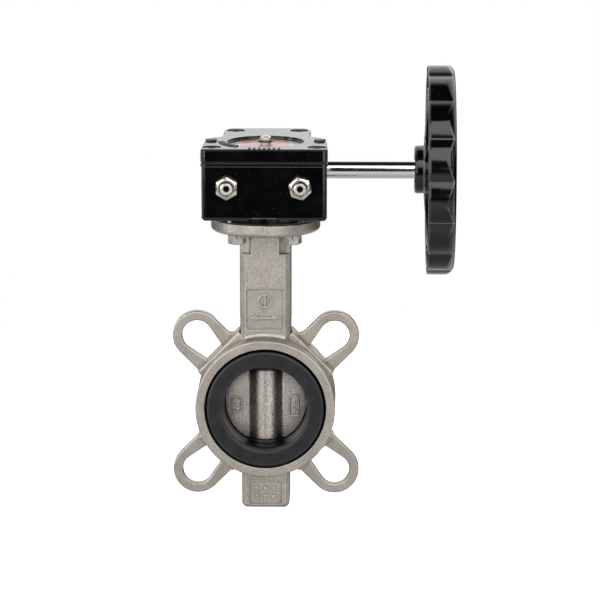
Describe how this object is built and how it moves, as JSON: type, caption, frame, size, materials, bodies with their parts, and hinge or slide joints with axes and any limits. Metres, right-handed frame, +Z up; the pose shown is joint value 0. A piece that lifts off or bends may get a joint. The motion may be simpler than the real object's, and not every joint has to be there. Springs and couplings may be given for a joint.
{
  "type": "butterfly valve",
  "caption": "Wafer butterfly valve with a lined stainless body, four open bolt loops, a disc on a two-piece stem, a worm gearbox with dial and a side handwheel.",
  "frame": {"origin": "centre of the flow bore, where the stem's axis crosses the pipe's axis", "axes": "+Y along the pipe towards the rear flange, +Z up the stem to the gearbox, +X towards the handwheel"},
  "size_m": [0.1809, 0.1444, 0.2816],
  "materials": {
    "body_steel": "bead-blasted stainless casting",
    "disc_steel": "coarse blasted stainless casting",
    "stem_steel": "turned stainless bar",
    "seat_rubber": "matt moulded EPDM",
    "seal_rubber": "moulded rubber rings",
    "bearing_plastic": "turned PTFE",
    "bronze": "plain bearing bronze",
    "copper_washer": "flat sealing washer",
    "spring_steel": "phosphated spring steel",
    "gasket_sheet": "fibre gasket sheet",
    "plated_steel": "bright plated steel",
    "black_screw": "black oxide steel",
    "box_paint": "gloss black enamel on a casting",
    "wheel_paint": "gloss black enamel on a casting",
    "gear_iron": "machined ductile iron",
    "gear_steel": "machined steel",
    "shaft_chrome": "polished plated bar",
    "dial_plate": "printed aluminium",
    "dial_red": "printed red band"
  },
  "bodies": {
    "valve": {"valve_body": "body_steel", "seat_liner": "seat_rubber", "stem_seals": "seal_rubber", "quadrant_seal": "seal_rubber", "indicator_seal": "seal_rubber", "shaft_seal": "seal_rubber", "neck_bushing_upper": "bearing_plastic", "neck_bushing_lower": "bearing_plastic", "boss_bushing": "bearing_plastic", "stem_thrust_washer": "bronze", "plug_washer": "copper_washer", "bottom_plug": "stem_steel", "base_gasket": "gasket_sheet", "cover_gasket": "gasket_sheet", "mounting_bolts": "plated_steel", "spring_washers": "plated_steel", "gearbox_housing": "box_paint", "gearbox_cover": "box_paint", "shaft_end_cap": "box_paint", "cover_screws": "black_screw", "cover_plugs": "black_screw", "stop_screws": "plated_steel", "stop_lock_nuts": "plated_steel", "shaft_bushing_right": "bronze", "shaft_bushing_left": "bronze", "worm_thrust_washers": "bronze"},
    "stem_train": {"disc": "disc_steel", "upper_stem": "stem_steel", "lower_stem": "stem_steel", "stem_clip": "spring_steel", "drive_bush": "gear_steel", "worm_quadrant": "gear_iron", "indicator_plate": "dial_plate", "indicator_band": "dial_red", "indicator_spacer": "plated_steel", "indicator_washer": "spring_steel", "indicator_screw": "plated_steel"},
    "handwheel_train": {"handwheel": "wheel_paint", "handwheel_pin": "black_screw", "input_shaft": "shaft_chrome", "worm": "gear_steel", "worm_pin": "gear_steel"}
  },
  "joints": [
    {"name": "handwheel_spin", "type": "hinge", "parent": "valve", "child": "handwheel_train", "pos_m": [0, 0.036, 0.1462], "axis": [1, 0, 0], "range_deg": [0, 2160]},
    {"name": "stem_turn", "type": "hinge", "parent": "valve", "child": "stem_train", "pos_m": [0, 0, 0], "axis": [0, 0, 1], "range_deg": [0, 90]}
  ],
  "couplings": [
    {"joint": "stem_turn", "follows": "handwheel_spin", "ratio": 0.041667}
  ]
}
